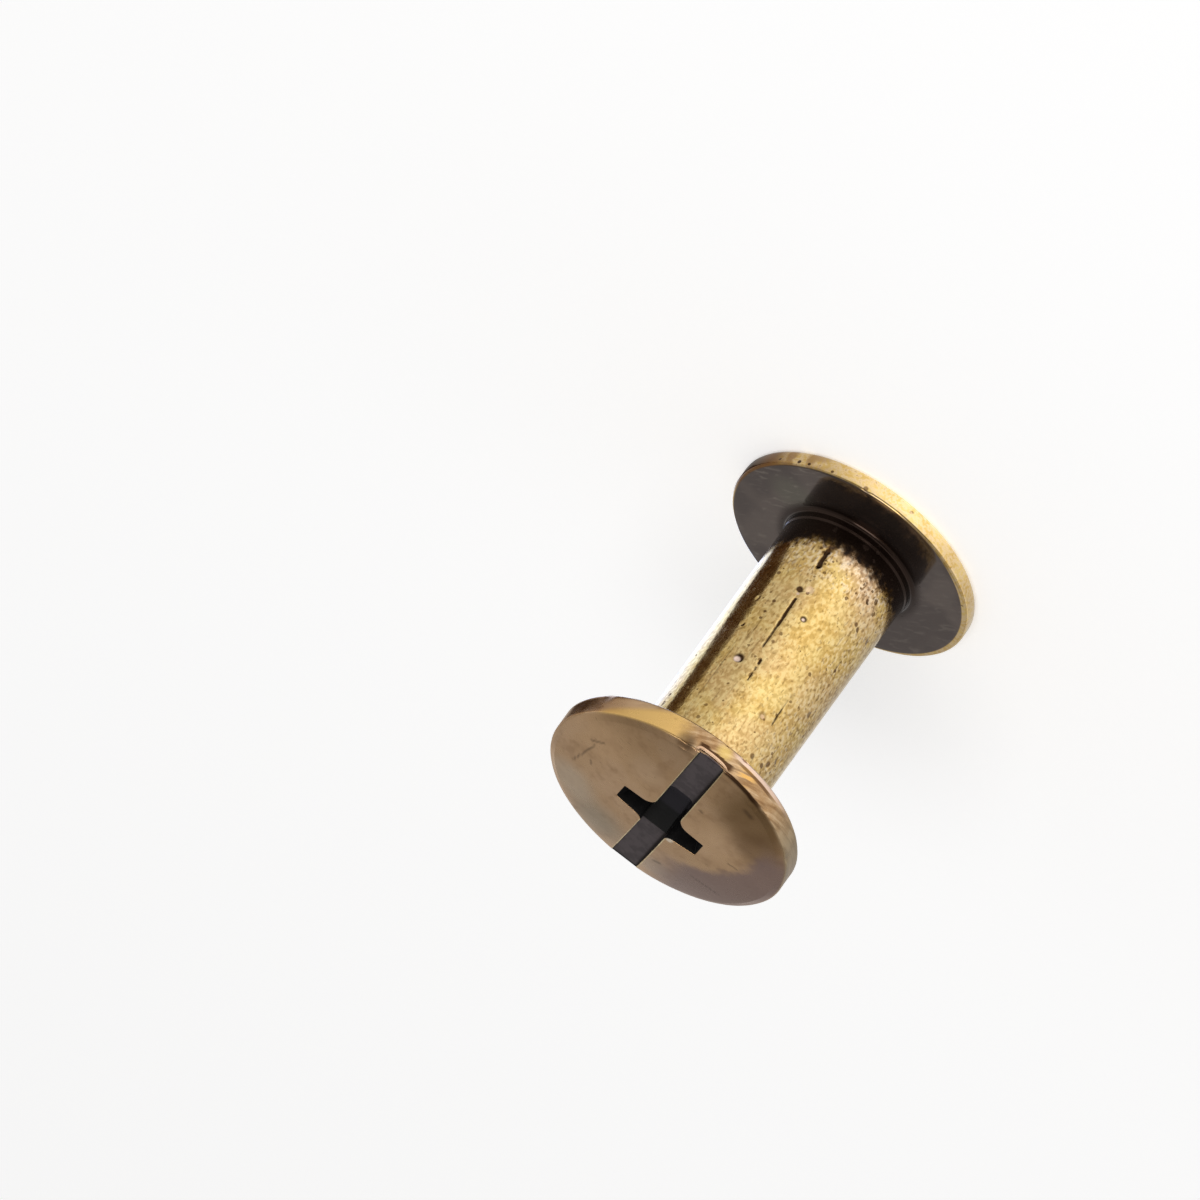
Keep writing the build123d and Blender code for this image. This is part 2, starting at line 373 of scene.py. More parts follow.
# each patch on the face: colour, strength, middle, full within, gone at
patches = [
    ("#86663f", 0.80, (2.6, 3.5, 13.7), 0.7, 2.0), ("#7d5d3b", 0.70, (3.5, 2.2, 13.8), 0.5, 1.5),
    ("#dcb994", 0.60, (-1.5, 2.2, 14.0), 0.2, 1.1), ("#dcb68c", 0.50, (1.9, 0.9, 14.0), 0.4, 1.5),
    ("#9a917c", 0.60, (-1.7, -3.2, 13.8), 0.3, 1.9),
    ("#d2bfa5", 0.60, (-3.3, -2.1, 13.7), 0.4, 1.5),
    ("#bda892", 0.60, (1.0, -3.4, 13.8), 0.3, 1.0), ("#e0b88c", 0.50, (-3.4, 1.8, 13.8), 0.4, 1.4)]
# a purplish arc is laid along part of the face's edge
purplish_arc_middle = (0.3, 1.5, 14.0)
from_purplish_arc = add(tree, "VectorMath", {"operation": "DISTANCE", 0: where, 1: purplish_arc_middle}, "Value")
purplish_arc_edge = add(tree, "Math", {"operation": "MULTIPLY_ADD", 0: mottle, 1: 0.6, 2: from_purplish_arc})
purplish_arc = mask(tree, (purplish_arc_edge, 3.35, 3.95), (along, 2.9, 1.4), (across, 0.5, 2.1), 0.9)
face = paint(tree, "#cba57b",
             ("#d2ad86", mask(tree, (clouds, 0.38, 0.62))),
             ("#b08a64", mask(tree, (mottle, 0.48, 0.7), 0.55)),
             *((colour, mask(tree, near(tree, where, middle, full, none), strength))
               for colour, strength, middle, full, none in patches),
             ("#917870", purplish_arc),
             # painted highlight: a small white spot at the recess's inner corner between its right
             # wing and its front arm
             ("#fff0d8", mask(tree, near(tree, where, (0.72, -0.62, 14.07), 0.06, 0.22), 0.9)),
             ("#7c6148", mask(tree, (hairlines, 0.64, 0.76), 0.5)),
             ("#4a3522", mask(tree, left_black, 0.55)))
print("screw face has", len(tree.nodes), "nodes so far")

# %% The screw's rim and shank
seat_level = 12.55              # underside of the screw's head
# the rim's streaks run at a slant, as a cloth or a thumb leaves them
slanted = add(tree, "Math", {"operation": "MULTIPLY_ADD", 0: across, 1: 0.35, 2: height})
slant_place = add(tree, "CombineXYZ", {"X": across, "Y": slanted})
streaks = cloudy(tree, slant_place, (1.0, 0.18, 0.4), 2.0, 0.6)
# the rim's left end was never rubbed and is glossier; its darker colour is a painted reflection of
# something dark
glossy_end_painted_dark = mask(tree, near(tree, where, (-4.9, 0.8, 12.6), 0.9, 2.2), (height, 13.5, 12.95), 0.92)
rim = paint(tree, "#b48f66",
            ("#c8a881", mask(tree, (mottle, 0.4, 0.6))),
            ("#85603c", mask(tree, (streaks, 0.48, 0.64), 0.6)),
            ("#e6c8a2", mask(tree, (streaks, 0.44, 0.32), 0.45)),
            ("#a09478", mask(tree, (across, 2.6, 4.4), (along, -1.0, 1.0), 0.55)),
            ("#dcb891", mask(tree, near(tree, where, (-3.9, 3.1, 12.9), 0.8, 1.8), 0.75)),
            # painted reflection: a gold band on the rim's left part, for the bright light it
            # mirrors
            ("#f2c67a", mask(tree, near(tree, where, (-3.0, 4.0, 13.2), 1.3, 2.3),
                             (slanted, 11.70, 12.02), (mottle, 0.15, 0.40), 0.95)),
            ("#eacb78", mask(tree, near(tree, where, (0.2, 5.0, 12.88), 0.1, 0.45), 0.6)),
            ("#f0b860", mask(tree, near(tree, where, (1.35, 4.8, 13.0), 0.1, 0.6),
                             (streaks, 0.6, 0.4), 0.8)),
            ("#966e2e", glossy_end_painted_dark),
            ("#55331c", mask(tree, (height, 12.92, 12.87), (height, 12.75, 12.79),
                             (across, 0.5, 1.1), (across, 3.0, 2.2), 0.7)),
            # painted highlight: a pale line along the rim's lower edge
            ("#f0d2be", mask(tree, (height, 12.78, 12.74), (across, 0.3, 0.9),
                             (across, 3.7, 2.4), 0.8)))
print("with the rim", len(tree.nodes), "nodes")

# %% Painted shadows round the slot's end, and the whole screw
front = mask(tree, (along, 3.2, 3.8))
uneven_height = add(tree, "Math", {"operation": "MULTIPLY_ADD", 0: streaks, 1: 0.2, 2: height})
# painted shadows on the rim: along the burr, under the face's edge right of the slot, and beside
# the slot's left side
saw_shadow = mask(tree, front, (uneven_height, 13.17, 13.22), (height, 13.5, 13.3),
                  (across, -0.80, -0.62), (across, 0.90, 0.66))
edge_shadow = mask(tree, front, (height, 13.38, 13.43), (height, 13.54, 13.49),
                   (across, 0.5, 0.7), (across, 2.8, 2.0))
shade_beside_slot = mask(tree, near(tree, where, (-1.15, 4.85, 13.40), 0.15, 0.55), 0.7)
slot_end_shadow = add(tree, "Math", {"operation": "MAXIMUM", 0: saw_shadow, 1: edge_shadow})
slot_end_shadow = add(tree, "Math", {"operation": "MAXIMUM", 0: slot_end_shadow, 1: shade_beside_slot})
tone = paint(tree, face,
             (rim, mask(tree, (height, rim_top + 0.06, rim_top - 0.03))),
             ("#3d2110", mask(tree, slot_end_shadow, 0.9)),
             ("#c4ad80", mask(tree, (height, seat_level + 0.02, seat_level - 0.02))))
rough = add(tree, "MapRange", {"Value": mottle, "From Min": 0.3, "From Max": 0.7,
                               "To Min": 0.24, "To Max": 0.34})
rough = add(tree, "Math", {"operation": "MULTIPLY_ADD", 0: glossy_end_painted_dark, 1: -0.15, 2: rough})
skin = add(tree, "Bump", {"Strength": 0.2, "Distance": 0.004 * MM, "Height": fine})
settle(tree, shader, {"Base Color": tone, "Roughness": rough, "Normal": skin})
print("screw material has", len(tree.nodes), "nodes")

# %% [markdown]
# ## Black in the slot and the recess
# The tumbling stones never reached the slot and the cross recess, so both still have the black
# of the bath. In the slot it is a thin oxide that shines like dull metal. In the recess it is
# sooty and hardly shines, and greyer towards its bottom. So they are two
# materials, one a metal and one not.

# %% Black oxide, for the slot
oxide_black, tree, shader = new_finish("black_oxide_on_brass", {"Metallic": 1.0, "Roughness": 0.38})
where, reach, split = surface_in_mm(tree)
grain = cloudy(tree, where, (0.35, 0.35, 0.35), 3.0)
colour = paint(tree, "#544b4c",
               ("#625859", mask(tree, (grain, 0.4, 0.6))),
               # painted shade: darker strips along the slot's floor beside both walls
               ("#23170f", mask(tree, (split["X"], 0.42, 0.54), 0.9)),
               ("#23170f", mask(tree, (split["X"], -0.47, -0.55), 0.9)),
               # painted shadow: black across the slot's floor near its end on the -y side
               ("#0d0a08", mask(tree, (split["Y"], -4.76, -4.90))))
skin = add(tree, "Bump", {"Strength": 0.2, "Distance": 0.004 * MM, "Height": grain})
settle(tree, shader, {"Base Color": colour, "Normal": skin})
print("black oxide has", len(tree.nodes), "nodes")

# %% Deeper black, for the cross recess
recess_black, tree, shader = new_finish("deep_black_oxide_on_brass", {"Metallic": 0.0})
where, reach, split = surface_in_mm(tree)
grain = cloudy(tree, where, (0.3, 0.3, 0.3), 3.0)
soot = paint(tree, "#0e0d0e", ("#161515", mask(tree, (grain, 0.4, 0.6))),
             ("#38353b", mask(tree, (split["Z"], 12.74, 12.60))))
rough = add(tree, "MapRange", {"Value": split["Z"], "From Min": 12.6, "From Max": 12.9,
                               "To Min": 0.75, "To Max": 0.45})
settle(tree, shader, {"Base Color": soot, "Roughness": rough})
print("deep black has", len(tree.nodes), "nodes")

# %% [markdown]
# ## Bright edges
# Whatever stands proud is rubbed brightest: the slot's two lips and the burr at its end. Both
# are the same bare brass with soft clouds, and the burr is a little redder and duller. The lips
# are painted paler still, as a painted highlight along the slot's sides. One loop makes the
# two, because only their names and numbers differ.

# %% Brighter brass, for the rubbed edges and the burr
# each finish: name, its two colours, and its two roughnesses
# the lips' paler colours are partly a painted highlight along the slot's sides
rubbed_finishes = [("rubbed_edge_brass_with_painted_highlight", "#cdb58a", "#f0dcae", 0.30, 0.42),
                   ("bright_brass_saw_burr", "#d0a680", "#e6c2a0", 0.34, 0.44)]
rubbed_brass = []
for name, darker, paler, smoothest, roughest in rubbed_finishes:
    made, tree, shader = new_finish(name, {"Metallic": 1.0})
    grain = cloudy(tree, surface_in_mm(tree)[0], (0.5, 0.5, 0.5))
    bright = paint(tree, darker, (paler, mask(tree, (grain, 0.35, 0.65))))
    rough = add(tree, "MapRange", {"Value": grain, "From Min": 0.3, "From Max": 0.7,
                                   "To Min": smoothest, "To Max": roughest})
    settle(tree, shader, {"Base Color": bright, "Roughness": rough})
    rubbed_brass.append(made)
rubbed_edge_highlight_brass, burr_brass = rubbed_brass
print("bright finishes", rubbed_edge_highlight_brass.name, "and", burr_brass.name)

# %% [markdown]
# ## Turning a piece
# Both pieces come off a lathe, so each starts as a profile that is carried round the axis.
# Real turned edges are never sharp: the tool leaves a small break and tumbling rounds it.
# One helper rounds the corners of a profile, a second adds points on long runs so that the
# metal can be dented later, and a third carries the profile round. A fourth joins rings into
# a closed piece, for what a lathe can't turn: the threads, the saw's path and the burr.

# %% Helpers that draw a profile
def soften(corners, steps=5):
    """Rounds the corners of a profile. Each corner is (distance from axis, height, rounding)."""
    points = []
    for k, (r, h, rounding) in enumerate(corners):
        here = Vector((r, h))
        if not rounding:
            points.append(here)
            continue
        back = (Vector(corners[k - 1][:2]) - here).normalized()
        ahead = (Vector(corners[k + 1][:2]) - here).normalized()
        half = back.angle(ahead) / 2
        centre = here + (back + ahead).normalized() * rounding / math.sin(half)
        first = here + back * rounding / math.tan(half) - centre
        last = here + ahead * rounding / math.tan(half) - centre
        spread = first.angle(last)
        for n in range(steps + 1):
            a, b = math.sin((1 - n / steps) * spread), math.sin(n / steps * spread)
            points.append(centre + (first * a + last * b) / math.sin(spread))
    return points


post_radius = 2.6


def fill_in(points, longest, longest_on_post):
    """Adds points so that no run of a profile is too long. The post's wall gets more."""
    filled = [points[0]]
    for start, end in zip(points, points[1:]):
        on_post = max(abs(start.x - post_radius), abs(end.x - post_radius)) < 0.01
        allowed = longest_on_post if on_post else longest
        parts = max(1, math.ceil((end - start).length / allowed))
        filled += [start.lerp(end, n / parts) for n in range(1, parts + 1)]
    return filled


softened = soften([(0, 0, 0), (1, 0, 0.1), (1, 1, 0)])
print("one rounded corner has", len(softened) - 2, "points")

# %% Helpers that make a piece
def mesh_piece(name, vertices, faces, *materials):
    """An object in the scene from vertices in mm."""
    mesh = bpy.data.meshes.new(name)
    mesh.from_pydata([tuple(c * MM for c in v) for v in vertices], [], faces)
    mesh.validate()
    for material in materials:
        mesh.materials.append(material)
    piece = bpy.data.objects.new(name, mesh)
    bpy.context.scene.collection.objects.link(piece)
    return piece


def turned(name, profile, around, *materials):
    """Carries a profile round the axis. It starts on the axis below and ends on it above."""
    angles = [2 * math.pi * k / around for k in range(around)]
    vertices, rings, faces = [], [], []
    for r, h in profile:
        first = len(vertices)
        if r < 1e-6:
            vertices.append((0, 0, h))
            rings.append([first] * around)
        else:
            vertices += [(r * math.cos(a), r * math.sin(a), h) for a in angles]
            rings.append(list(range(first, first + around)))
    for low, high in zip(rings, rings[1:]):
        for k in range(around):
            n = (k + 1) % around
            corners = dict.fromkeys((low[k], low[n], high[n], high[k]))
            faces.append(tuple(corners))
    return mesh_piece(name, vertices, faces, *materials)


def lofted(name, rings, *materials):
    """Joins closed rings of points into one piece with a flat cap on each end."""
    size, last = len(rings[0]), len(rings) - 1
    faces = []
    for k in range(last):
        for n in range(size):
            m = (n + 1) % size
            faces.append((k * size + n, (k + 1) * size + n, (k + 1) * size + m, k * size + m))
    faces += [tuple(range(size)), tuple(reversed(range(last * size, (last + 1) * size)))]
    return mesh_piece(name, [corner for ring in rings for corner in ring], faces, *materials)


def smooth(piece, sharpest):
    """Shades a piece smoothly, but keeps edges sharper than this angle in degrees."""
    shape = bmesh.new()
    shape.from_mesh(piece.data)
    for face in shape.faces:
        face.smooth = True
    for edge in shape.edges:
        edge.smooth = len(edge.link_faces) == 2 and edge.calc_face_angle(0) < math.radians(sharpest)
    shape.to_mesh(piece.data)
    shape.free()
    triangles = sum(len(p.vertices) - 2 for p in piece.data.polygons)
    print(piece.name, "has", triangles, "triangles")


# %% [markdown]
# ## The barrel
# The profile goes from the middle of the outer face, round the rim, in along the inner face,
# up the post, over the mouth and down the bore to the drill's point. The post meets the head
# in a small fillet. A little above it is the tiny ledge where the finishing cut stopped, and
# it catches the light as a thin ring.

# %% Turn the barrel
head_radius, barrel_head_top, mouth_level = 5.0, 0.75, 12.5
foot_radius = post_radius + 0.05    # below the ledge, where the finishing cut didn't reach
bore_radius, bore_floor = 2.05, 2.5
drill_point = 1.23                  # height of the cone that a 118 degree drill leaves
chamfer = 0.2                       # of the bore's mouth
outside = soften([
    (0, 0, 0), (head_radius, 0, 0.24), (head_radius, barrel_head_top, 0.13),
    (foot_radius, barrel_head_top, 0.18), (foot_radius, 1.11, 0.03),
    (post_radius, 1.18, 0.03), (post_radius, mouth_level, 0.12),
    (bore_radius + chamfer, mouth_level, 0.03), (bore_radius, mouth_level - chamfer, 0.05),
    (bore_radius, bore_floor, 0), (0, bore_floor - drill_point, 0)])
barrel = turned("barrel_turned", fill_in(outside, 0.3, 0.07), 320, barrel_brass)
print("barrel has", len(barrel.data.vertices), "points to dent")

# %% [markdown]
# ## Marks in the post and the rims
# Drawing the brass through its die scored the post lengthwise, and tumbling left pits in it.
# Bump in the material could fake them, but the outline and the exported mesh would lose them,
# so they are real hollows here. Each vertex is pushed in towards the axis by the depth of
# the mark it lies in. A scratch also leaves its blackness on the mesh as an attribute, which
# the finish shows. The colour of a pit is one of the finish's spots, laid in the same place,
# and the pale spot in the middle of some pits is a painted highlight. The rims get shallow
# waves and nicks in the same way.

# %% Helpers for scratches, pits and worn rims
def press_in(piece, marks_at):
    """Pushes each vertex towards the axis. marks_at(angle, radius, place) gives how deep, in
    mm, and how black."""
    mesh = piece.data
    black = mesh.attributes.new("left_black", "FLOAT", "POINT")
    for vertex in mesh.vertices:
        place = vertex.co / MM
        r = math.hypot(place.x, place.y)
        if r < 1e-6:
            continue
        depth, blackness = marks_at(math.degrees(math.atan2(place.x, place.y)), r, place)
        black.data[vertex.index].value = blackness
        vertex.co.x -= place.x / r * depth * MM
        vertex.co.y -= place.y / r * depth * MM


def falls_off(distance, half_width):
    """1 in the middle of a mark, 0 at its edge, with a rounded bottom."""
    return max(0.0, 1 - (distance / half_width) ** 2)


def unrolled(angle, z, radius):
    """A place on a round surface laid out flat, in mm."""
    return Vector((math.radians(angle) * radius, z))


def off_line(here, start, end):
    """How far a place is from the line between two others."""
    along = end - start
    share = min(max((here - start).dot(along) / along.length_squared, 0.0), 1.0)
    return (here - start - along * share).length


def waves(place, size, depth):
    """Shallow unevenness of a tumbled edge, never above the turned surface."""
    return depth * (0.5 + 0.5 * noise_at(place / size))


print("halfway out a mark has", falls_off(0.5, 1.0), "of its depth")

# %% Where the barrel's marks lie
# each scratch: start angle and height, end angle and height, half width, depth
scratches = [
    (-21.4, 2.25, -20.2, 3.05, 0.125, 0.06), (-19.8, 4.70, -18.8, 6.0, 0.080, 0.05),
    (-18.8, 6.0, -18.2, 7.1, 0.060, 0.022), (-13.4, 7.60, -13.0, 7.80, 0.060, 0.03),
    (-13.0, 7.97, -12.6, 8.12, 0.055, 0.02), (-12.8, 8.25, -12.2, 8.60, 0.050, 0.022),
    (24.2, 8.15, 24.8, 8.60, 0.045, 0.014), (24.8, 8.60, 25.6, 9.35, 0.055, 0.022),
    (45.0, 5.25, 45.6, 5.85, 0.050, 0.014), (-39.6, 7.6, -38.4, 11.9, 0.038, 0.013),
    (-39.2, 3.0, -39.5, 7.3, 0.028, 0.007), (-44.8, 2.6, -44.0, 9.0, 0.025, 0.006),
    (-14.8, 9.6, -14.4, 10.8, 0.030, 0.007)]
# each pit: angle, height, half width, depth
pock_marks = [
    (-29.2, 7.98, 0.21, 0.07), (-4.6, 5.25, 0.13, 0.05), (14.6, 9.37, 0.16, 0.035),
    (-20.6, 4.28, 0.14, 0.05), (-14.0, 4.12, 0.12, 0.03), (40.0, 3.9, 0.12, 0.04),
    (60.5, 3.7, 0.12, 0.04), (31.2, 2.85, 0.10, 0.04), (53.0, 7.7, 0.14, 0.04),
    (-33.4, 5.13, 0.07, 0.03), (-34.2, 6.0, 0.07, 0.03), (31.0, 10.85, 0.14, 0.05),
    (47.6, 10.55, 0.15, 0.05), (54.0, 10.0, 0.14, 0.04), (60.0, 9.8, 0.13, 0.04),
    (38.0, 11.4, 0.12, 0.04), (-45.9, 6.5, 0.08, 0.03), (-49.0, 5.2, 0.08, 0.03)]
# each pit in the barrel's rim: angle, height, half width
rim_pits = [(-60.0, 0.53, 0.08), (-48.6, 0.57, 0.11), (-42.6, 0.59, 0.08), (-34.6, 0.60, 0.07),
            (-31.4, 0.56, 0.07), (-14.0, 0.62, 0.12), (21.0, 0.3, 0.05), (128.0, 0.4, 0.08),
            (173.0, 0.5, 0.07), (-112.0, 0.35, 0.09), (-150.0, 0.5, 0.06), (88.0, 0.45, 0.06)]
worn_in = 0.35          # how far in from the edge the rim is worn
rim_depth = 0.03        # of the rim's waves, and of its pits
black_from = 0.03       # a scratch this deep or deeper keeps all its black
print(len(scratches), "scratches,", len(pock_marks), "pits and", len(rim_pits), "in the rim")


# %% Mark the barrel
def barrel_marks(angle, r, place):
    """Depth and blackness of the barrel's marks at one of its points."""
    if r > head_radius - worn_in:
        here = unrolled(angle, place.z, head_radius)
        inside = max(falls_off((here - unrolled(a, z, head_radius)).length, half_width)
                     for a, z, half_width in rim_pits)
        return waves(place, 1.3, rim_depth) + rim_depth * inside, 0.0
    if abs(r - post_radius) > 0.02:
        return 0.0, 0.0
    here = unrolled(angle, place.z, post_radius)
    ragged_edge = 1 + 0.35 * noise_at(place / 0.12)
    deepest, blackest = 0.0, 0.0
    for start_angle, start_z, end_angle, end_z, half_width, depth in scratches:
        away = off_line(here, unrolled(start_angle, start_z, post_radius),
                        unrolled(end_angle, end_z, post_radius))
        inside = falls_off(away, half_width * ragged_edge)
        deepest = max(deepest, depth * inside)
        blackest = max(blackest, min(1, depth / black_from) * inside)
    for mark_angle, mark_z, half_width, depth in pock_marks:
        away = (here - unrolled(mark_angle, mark_z, post_radius)).length
        deepest = max(deepest, depth * falls_off(away, half_width))
    return deepest, blackest


press_in(barrel, barrel_marks)
smooth(barrel, 50)
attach(barrel, "barrel")
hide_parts("barrel")

# %% [markdown]
# ## Threads
# A thread is one ridge wound round a cylinder. The ridge's section is a trapezoid, and its
# ends shrink away over a third of a turn, as they do where a tap or die runs out. The same
# helper makes the barrel's inner ridge and the screw's outer one, half a pitch apart, so they
# lie between each other with the screw closed and after every whole turn.

# %% Wind the screw's thread
pitch, crest_radius, root_radius = 0.7, 2.0, 1.621
shank_tip, tip_break = 4.65, 0.15


def ridge(name, section, start, turns, material, per_turn=72):
    """Winds a closed section of (distance from axis, height) corners round the axis."""
    base = section[0][0]
    rings = []
    for k in range(round(turns * per_turn) + 1):
        turned_so_far = k / per_turn
        size = min(1.0, 0.04 + turned_so_far * 3, 0.04 + (turns - turned_so_far) * 3)
        angle = 2 * math.pi * turned_so_far
        ring = []
        for r, h in section:
            reach_here = base + (r - base) * size
            ring.append((reach_here * math.cos(angle), reach_here * math.sin(angle),
                         start + turned_so_far * pitch + h * (0.3 + 0.7 * size)))
        rings.append(ring)
    return lofted(name, rings, material)


flank = math.tan(math.radians(30))
sunk = 0.05             # how far the ridge's foot lies inside the core
crest_half = pitch / 16
root_half = crest_half + (crest_radius - root_radius + sunk) * flank
outer_section = [(root_radius - sunk, -root_half), (crest_radius, -crest_half),
                 (crest_radius, crest_half), (root_radius - sunk, root_half)]
thread_start = shank_tip + tip_break
screw_thread = ridge("screw_thread", outer_section, thread_start, 10.0, screw_brass)
smooth(screw_thread, 25)
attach(screw_thread, "screw")

# %% Wind the barrel's thread
play = 0.03             # between the two threads' flanks
foot_half = pitch / 2 - crest_half + (bore_radius - crest_radius) * flank - play
inner_crest, inner_foot = 1.68, bore_radius + 0.03
inner_half = foot_half - (bore_radius - inner_crest) * flank
inner_section = [(inner_foot, foot_half), (inner_crest, inner_half),
                 (inner_crest, -inner_half), (inner_foot, -foot_half)]
inner_turns = 13.0
inner_start = thread_start + pitch / 2 - 3 * pitch
barrel_thread = ridge("barrel_thread", inner_section, inner_start, inner_turns, barrel_brass)
smooth(barrel_thread, 25)
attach(barrel_thread, "barrel")
inner_end = inner_start + inner_turns * pitch
print("inner thread from", round(inner_start, 2), "to", round(inner_end, 2), "mm")

# %% [markdown]
# ## The screw
# The screw is turned first: a straight rim, a softly rounded bevel and a face that is one
# shallow arc, on a plain core that carries the thread. The blank is whole, as it is in the
# factory before the slot is sawn and the recess is punched.

# %% Turn the screw blank
dome_top = 14.1
dome_edge_radius, dome_edge_level = 4.72, 13.6      # the dome ends here and the bevel starts
dome_rise = dome_top - dome_edge_level
dome_radius = (dome_edge_radius ** 2 + dome_rise ** 2) / (2 * dome_rise)
tip_radius, neck = 1.47, 0.2


def dome_height(reach_here):
    """Height of the finished face at a distance from the axis."""
    r = np.minimum(np.abs(reach_here), head_radius)
    arc = dome_top - dome_radius + np.sqrt(dome_radius ** 2 - np.minimum(r, dome_edge_radius) ** 2)
    fall = (dome_edge_level - rim_top) * (r - dome_edge_radius) / (head_radius - dome_edge_radius)
    return float(arc - np.maximum(fall, 0))


arc_points = [(r, dome_height(r), 0) for r in np.linspace(4.5, 0, 31)]
blank_profile = soften([
    (0, shank_tip, 0), (tip_radius, shank_tip, 0), (root_radius, shank_tip + tip_break, 0),
    (root_radius, seat_level - neck, 0.1), (root_radius + neck, seat_level, 0),
    (head_radius, seat_level, 0.12), (head_radius, rim_top, 0.1),
    (dome_edge_radius, dome_edge_level, 0.2)] + arc_points)
blank = turned("screw_turned", fill_in(blank_profile, 0.14, 0.14), 288, screw_brass)
print("dome radius", round(dome_radius, 1), "mm")

# %% [markdown]
# ## Slot and cross recess
# The slot is sawn straight across the face and the cross recess is punched through it. Both
# are cut here with a boolean, each by a closed cutter with the shape of the tool. A cutter's
# sides flare out where they leave the dome, so the cut has rounded lips, as tumbled brass
# does. The cutter brings its own black material to the walls and floor it leaves. The slot's
# lips get the rubbed edge brass with its painted highlight, and the recess's lips the material
# of the face. Walls that were only drawn dark would show no depth from the side.

# %% Draw the slot's section
slot_half_width, slot_floor = 0.55, 13.45
lip = 0.055                     # rounding of the slot's edges
lip_angles = [math.radians(a) for a in (0, 25, 50, 74)]
flare_out, flare_up = 0.08, 0.02    # a cutter's sides leave the dome this way
cutter_top = dome_top + 0.5
end_start = 4.93                # the slot's floor rolls over the rim from here
end_rounding = head_radius - end_start
slot_rows = np.unique(np.concatenate([np.linspace(-5.5, 5.5, 89), np.linspace(4.8, 5.05, 11),
                                      np.linspace(-5.05, -4.8, 11)]))


def slot_section(y):
    """Right half of the slot's section at y, from the floor to above the face."""
    over = min(max(abs(y) - end_start, 0), end_rounding)
    floor_here = slot_floor - (end_rounding - math.sqrt(end_rounding ** 2 - over ** 2))
    face_here = max(dome_height(math.hypot(slot_half_width, y)), floor_here + lip)
    half = [(slot_half_width, floor_here)]
    half += [(slot_half_width + lip * (1 - math.cos(a)), face_here - lip * (1 - math.sin(a)))
             for a in lip_angles]
    edge_x, edge_z = half[-1]
    half.append((edge_x + flare_out, edge_z + flare_up))
    half.append((edge_x + flare_out, cutter_top))
    return half


print("half the slot's section has", len(slot_section(0)), "points, and it stands at",
      len(slot_rows), "places")

# %% Make the slot cutter
slot_rings = []
for y in slot_rows:
    half = slot_section(y)
    slot_rings.append([(x, y, z) for x, z in half] + [(-x, y, z) for x, z in reversed(half)])
slot_cutter = lofted("slot_cutter", slot_rings, oxide_black, rubbed_edge_highlight_brass)
ring_size = len(slot_rings[0])
lip_sides = {*range(1, 6), *range(7, 12)}       # sides 0 and 12 are the walls, 13 the floor
ends_from = (len(slot_rings) - 1) * ring_size
for polygon in slot_cutter.data.polygons:
    is_lip = polygon.index % ring_size in lip_sides and polygon.index < ends_from
    polygon.material_index = 1 if is_lip else 0
print("slot cutter has", len(slot_cutter.data.polygons), "faces")

# %% Draw the cross recess
def cross(span, back_span, half_width, tip_half, above, below, blunt, tip=0.04):
    """Outline of a cross, anticlockwise. The wings along x are a little wider at their roots,
    and above and below give where a root starts and how far its corner is rounded. The arm
    along +y reaches to back_span and has a blunt end."""
    right_wing = [(half_width, -below[0], below[1]), (span, -tip_half, tip), (span, tip_half, tip),
                  (half_width, above[0], above[1]), (half_width, back_span, blunt)]
    left_wing = [(-x, y, rounding) for x, y, rounding in reversed(right_wing)]
    front_arm = [(-half_width, -span, tip), (half_width, -span, tip)]
    return round_loop(right_wing + left_wing + front_arm)


def round_loop(corners, steps=6):
    """Rounds each corner of a closed outline."""
    points = []
    for k, corner in enumerate(corners):
        before, after = corners[k - 1], corners[(k + 1) % len(corners)]
        points += soften([(*before[:2], 0), corner, (*after[:2], 0)], steps)[1:-1]
    return points


recess_depth, recess_lip = 1.95, 0.02
recess_floor = dome_top - recess_depth
# outlines at the level of the dome's top and at the floor
wide = np.array(cross(1.825, 1.98, 0.55, 0.48, (0.70, 0.56), (0.54, 0.31), 0.36))
narrow = np.array(cross(0.95, 1.05, 0.545, 0.375, (0.38, 0.22), (0.38, 0.18), 0.20))


def outline_at(z):
    """The recess's outline at each point's own height: it narrows evenly on the way down."""
    return narrow + (wide - narrow) * ((z - recess_floor) / (dome_top - recess_floor))[:, None]


def outward(points):
    """The direction away from the metal's edge at each point of a closed outline."""
    ahead = np.roll(points, -1, 0) - points
    back = points - np.roll(points, 1, 0)
    ahead /= np.linalg.norm(ahead, axis=1)[:, None]
    back /= np.linalg.norm(back, axis=1)[:, None]
    middle = ahead + back
    middle /= np.linalg.norm(middle, axis=1)[:, None]
    return np.stack([middle[:, 1], -middle[:, 0]], 1)


print("the recess's outline has", len(wide), "points")

# %% Make the cross recess cutter
count = len(wide)
face_level = np.array([dome_height(math.hypot(*p)) for p in wide])
layers = [np.column_stack([narrow, np.full(count, recess_floor)])]
for share in (0.25, 0.5, 0.75):
    z = recess_floor + (face_level - recess_lip - recess_floor) * share
    layers.append(np.column_stack([outline_at(z), z]))
for a in lip_angles:
    z = face_level - recess_lip * (1 - math.sin(a))
    spread = outline_at(face_level - recess_lip) + outward(wide) * recess_lip * (1 - math.cos(a))
    layers.append(np.column_stack([spread, z]))
rise = layers[-1] + np.column_stack([outward(wide) * flare_out, np.full(count, flare_up)])
layers.append(rise)
layers.append(np.column_stack([rise[:, :2], np.full(count, cutter_top)]))
vertices = [tuple(v) for layer in layers for v in layer]
faces = []
for k in range(len(layers) - 1):
    for n in range(count):
        m = (n + 1) % count
        faces.append((k * count + n, k * count + m, (k + 1) * count + m, (k + 1) * count + n))
point, point_depth = len(vertices), 0.3
vertices.append((0, 0, recess_floor - point_depth))
